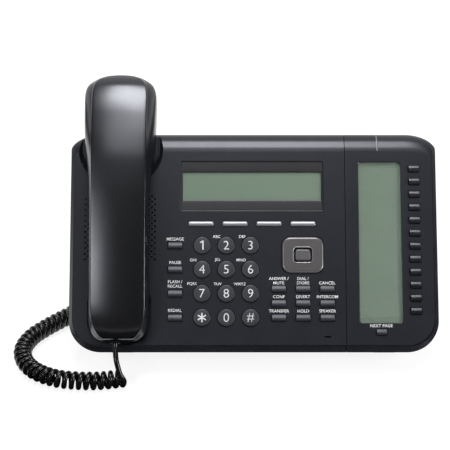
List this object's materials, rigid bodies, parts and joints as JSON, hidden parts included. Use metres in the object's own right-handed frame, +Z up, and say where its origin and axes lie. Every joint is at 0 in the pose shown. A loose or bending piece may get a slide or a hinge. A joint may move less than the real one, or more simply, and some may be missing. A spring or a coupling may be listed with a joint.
{
  "type": "desk ip phone",
  "caption": "Desk telephone on a fold-out stand: sloping base with dial and function keys, text display, tall label display, and a corded handset resting in a side cradle.",
  "frame": {"origin": "on the table under the middle of the phone, cord left out", "axes": "+X to the right of a seated user, +Y away from the user, +Z up"},
  "size_m": [0.3043, 0.1614, 0.178],
  "materials": {
    "case": "fine grained satin",
    "handset_shell": "gloss",
    "dark_key": "satin",
    "silver_key": "silver paint",
    "lamp_lens": "smoky translucent",
    "clear_window": "clear",
    "display": "green liquid crystal",
    "circuit_board": "solder mask",
    "mat_rubber": "matte",
    "speaker_steel": "matte",
    "socket_plastic": "satin",
    "screw_steel": "zinc plated",
    "foot_rubber": "matte",
    "plug_plastic": "clear moulded",
    "cord_jacket": "satin",
    "capsule": "satin",
    "navigation_plastic": "satin grey"
  },
  "bodies": {
    "base": {"front_cover": "case", "side_cover": "case", "rear_cover": "case", "message_lamp": "lamp_lens", "display_bezel": "dark_key", "display_window": "clear_window", "display_panel": "display", "label_window": "clear_window", "label_panel": "display", "main_board": "circuit_board", "key_mat": "mat_rubber", "loudspeaker": "speaker_steel", "jack_block": "socket_plastic", "case_screws": "screw_steel", "front_feet": "foot_rubber", "base_plug": "plug_plastic", "cord_lead": "cord_jacket", "cord_coil": "cord_jacket", "rear_lead": "cord_jacket"},
    "handset": {"handset_back": "handset_shell", "handset_face": "handset_shell", "earpiece": "capsule", "microphone": "capsule", "handset_plug": "plug_plastic"},
    "hook": {"hook_switch": "dark_key"},
    "stand": {"stand": "case", "stand_feet": "foot_rubber"},
    "navigation": {"navigation_key": "navigation_plastic"},
    "key_1": {"key_1": "dark_key"},
    "key_2": {"key_2": "dark_key"},
    "key_3": {"key_3": "dark_key"},
    "key_4": {"key_4": "dark_key"},
    "key_5": {"key_5": "dark_key"},
    "key_6": {"key_6": "dark_key"},
    "key_7": {"key_7": "dark_key"},
    "key_8": {"key_8": "dark_key"},
    "key_9": {"key_9": "dark_key"},
    "key_star": {"key_star": "dark_key"},
    "key_0": {"key_0": "dark_key"},
    "key_hash": {"key_hash": "dark_key"},
    "soft_key_1": {"soft_key_1": "silver_key"},
    "soft_key_2": {"soft_key_2": "silver_key"},
    "soft_key_3": {"soft_key_3": "silver_key"},
    "soft_key_4": {"soft_key_4": "silver_key"},
    "left_key_1": {"left_key_1": "dark_key"},
    "left_key_2": {"left_key_2": "dark_key"},
    "left_key_3": {"left_key_3": "dark_key"},
    "left_key_4": {"left_key_4": "dark_key"},
    "function_key_1": {"function_key_1": "dark_key"},
    "function_key_2": {"function_key_2": "dark_key"},
    "function_key_3": {"function_key_3": "dark_key"},
    "function_key_4": {"function_key_4": "dark_key"},
    "function_key_5": {"function_key_5": "dark_key"},
    "function_key_6": {"function_key_6": "dark_key"},
    "function_key_7": {"function_key_7": "dark_key"},
    "function_key_8": {"function_key_8": "dark_key"},
    "function_key_9": {"function_key_9": "dark_key"},
    "centre_key": {"centre_key": "silver_key"},
    "page_key": {"page_key": "dark_key"},
    "line_keys": {"line_keys": "dark_key"}
  },
  "joints": [
    {"name": "handset_lift", "type": "slide", "parent": "base", "child": "handset", "axis": [0, -0.7431, 0.6691], "range_m": [0, 0.06]},
    {"name": "hook_press", "type": "slide", "parent": "base", "child": "hook", "axis": [0, -0.7431, 0.6691], "range_m": [0, 0.004]},
    {"name": "stand_fold", "type": "hinge", "parent": "base", "child": "stand", "pos_m": [0, 0.02469, 0.07297], "axis": [1, 0, 0], "range_deg": [-66, 0]},
    {"name": "navigation_tilt", "type": "hinge", "parent": "base", "child": "navigation", "pos_m": [0.035, -0.01667, 0.07067], "axis": [1, 0, 0], "range_deg": [-3.5, 3.5], "stiffness_Nm_per_rad": 0.4},
    {"name": "key_1_press", "type": "slide", "parent": "base", "child": "key_1", "axis": [0, 0.7431, -0.6691], "range_m": [0, 0.0012], "stiffness_N_per_m": 500},
    {"name": "key_2_press", "type": "slide", "parent": "base", "child": "key_2", "axis": [0, 0.7431, -0.6691], "range_m": [0, 0.0012], "stiffness_N_per_m": 500},
    {"name": "key_3_press", "type": "slide", "parent": "base", "child": "key_3", "axis": [0, 0.7431, -0.6691], "range_m": [0, 0.0012], "stiffness_N_per_m": 500},
    {"name": "key_4_press", "type": "slide", "parent": "base", "child": "key_4", "axis": [0, 0.7431, -0.6691], "range_m": [0, 0.0012], "stiffness_N_per_m": 500},
    {"name": "key_5_press", "type": "slide", "parent": "base", "child": "key_5", "axis": [0, 0.7431, -0.6691], "range_m": [0, 0.0012], "stiffness_N_per_m": 500},
    {"name": "key_6_press", "type": "slide", "parent": "base", "child": "key_6", "axis": [0, 0.7431, -0.6691], "range_m": [0, 0.0012], "stiffness_N_per_m": 500},
    {"name": "key_7_press", "type": "slide", "parent": "base", "child": "key_7", "axis": [0, 0.7431, -0.6691], "range_m": [0, 0.0012], "stiffness_N_per_m": 500},
    {"name": "key_8_press", "type": "slide", "parent": "base", "child": "key_8", "axis": [0, 0.7431, -0.6691], "range_m": [0, 0.0012], "stiffness_N_per_m": 500},
    {"name": "key_9_press", "type": "slide", "parent": "base", "child": "key_9", "axis": [0, 0.7431, -0.6691], "range_m": [0, 0.0012], "stiffness_N_per_m": 500},
    {"name": "key_star_press", "type": "slide", "parent": "base", "child": "key_star", "axis": [0, 0.7431, -0.6691], "range_m": [0, 0.0012], "stiffness_N_per_m": 500},
    {"name": "key_0_press", "type": "slide", "parent": "base", "child": "key_0", "axis": [0, 0.7431, -0.6691], "range_m": [0, 0.0012], "stiffness_N_per_m": 500},
    {"name": "key_hash_press", "type": "slide", "parent": "base", "child": "key_hash", "axis": [0, 0.7431, -0.6691], "range_m": [0, 0.0012], "stiffness_N_per_m": 500},
    {"name": "soft_key_1_press", "type": "slide", "parent": "base", "child": "soft_key_1", "axis": [0, 0.7431, -0.6691], "range_m": [0, 0.0012], "stiffness_N_per_m": 500},
    {"name": "soft_key_2_press", "type": "slide", "parent": "base", "child": "soft_key_2", "axis": [0, 0.7431, -0.6691], "range_m": [0, 0.0012], "stiffness_N_per_m": 500},
    {"name": "soft_key_3_press", "type": "slide", "parent": "base", "child": "soft_key_3", "axis": [0, 0.7431, -0.6691], "range_m": [0, 0.0012], "stiffness_N_per_m": 500},
    {"name": "soft_key_4_press", "type": "slide", "parent": "base", "child": "soft_key_4", "axis": [0, 0.7431, -0.6691], "range_m": [0, 0.0012], "stiffness_N_per_m": 500},
    {"name": "left_key_1_press", "type": "slide", "parent": "base", "child": "left_key_1", "axis": [0, 0.7431, -0.6691], "range_m": [0, 0.0012], "stiffness_N_per_m": 500},
    {"name": "left_key_2_press", "type": "slide", "parent": "base", "child": "left_key_2", "axis": [0, 0.7431, -0.6691], "range_m": [0, 0.0012], "stiffness_N_per_m": 500},
    {"name": "left_key_3_press", "type": "slide", "parent": "base", "child": "left_key_3", "axis": [0, 0.7431, -0.6691], "range_m": [0, 0.0012], "stiffness_N_per_m": 500},
    {"name": "left_key_4_press", "type": "slide", "parent": "base", "child": "left_key_4", "axis": [0, 0.7431, -0.6691], "range_m": [0, 0.0012], "stiffness_N_per_m": 500},
    {"name": "function_key_1_press", "type": "slide", "parent": "base", "child": "function_key_1", "axis": [0, 0.7431, -0.6691], "range_m": [0, 0.0012], "stiffness_N_per_m": 500},
    {"name": "function_key_2_press", "type": "slide", "parent": "base", "child": "function_key_2", "axis": [0, 0.7431, -0.6691], "range_m": [0, 0.0012], "stiffness_N_per_m": 500},
    {"name": "function_key_3_press", "type": "slide", "parent": "base", "child": "function_key_3", "axis": [0, 0.7431, -0.6691], "range_m": [0, 0.0012], "stiffness_N_per_m": 500},
    {"name": "function_key_4_press", "type": "slide", "parent": "base", "child": "function_key_4", "axis": [0, 0.7431, -0.6691], "range_m": [0, 0.0012], "stiffness_N_per_m": 500},
    {"name": "function_key_5_press", "type": "slide", "parent": "base", "child": "function_key_5", "axis": [0, 0.7431, -0.6691], "range_m": [0, 0.0012], "stiffness_N_per_m": 500},
    {"name": "function_key_6_press", "type": "slide", "parent": "base", "child": "function_key_6", "axis": [0, 0.7431, -0.6691], "range_m": [0, 0.0012], "stiffness_N_per_m": 500},
    {"name": "function_key_7_press", "type": "slide", "parent": "base", "child": "function_key_7", "axis": [0, 0.7431, -0.6691], "range_m": [0, 0.0012], "stiffness_N_per_m": 500},
    {"name": "function_key_8_press", "type": "slide", "parent": "base", "child": "function_key_8", "axis": [0, 0.7431, -0.6691], "range_m": [0, 0.0012], "stiffness_N_per_m": 500},
    {"name": "function_key_9_press", "type": "slide", "parent": "base", "child": "function_key_9", "axis": [0, 0.7431, -0.6691], "range_m": [0, 0.0012], "stiffness_N_per_m": 500},
    {"name": "centre_key_press", "type": "slide", "parent": "base", "child": "centre_key", "axis": [0, 0.7431, -0.6691], "range_m": [0, 0.0012], "stiffness_N_per_m": 500},
    {"name": "page_key_press", "type": "slide", "parent": "base", "child": "page_key", "axis": [0, 0.7431, -0.6691], "range_m": [0, 0.0012], "stiffness_N_per_m": 500},
    {"name": "line_keys_press", "type": "slide", "parent": "base", "child": "line_keys", "axis": [0, 0.7431, -0.6691], "range_m": [0, 0.0012], "stiffness_N_per_m": 2000}
  ],
  "couplings": [
    {"joint": "hook_press", "follows": "handset_lift", "ratio": 0.066667}
  ]
}
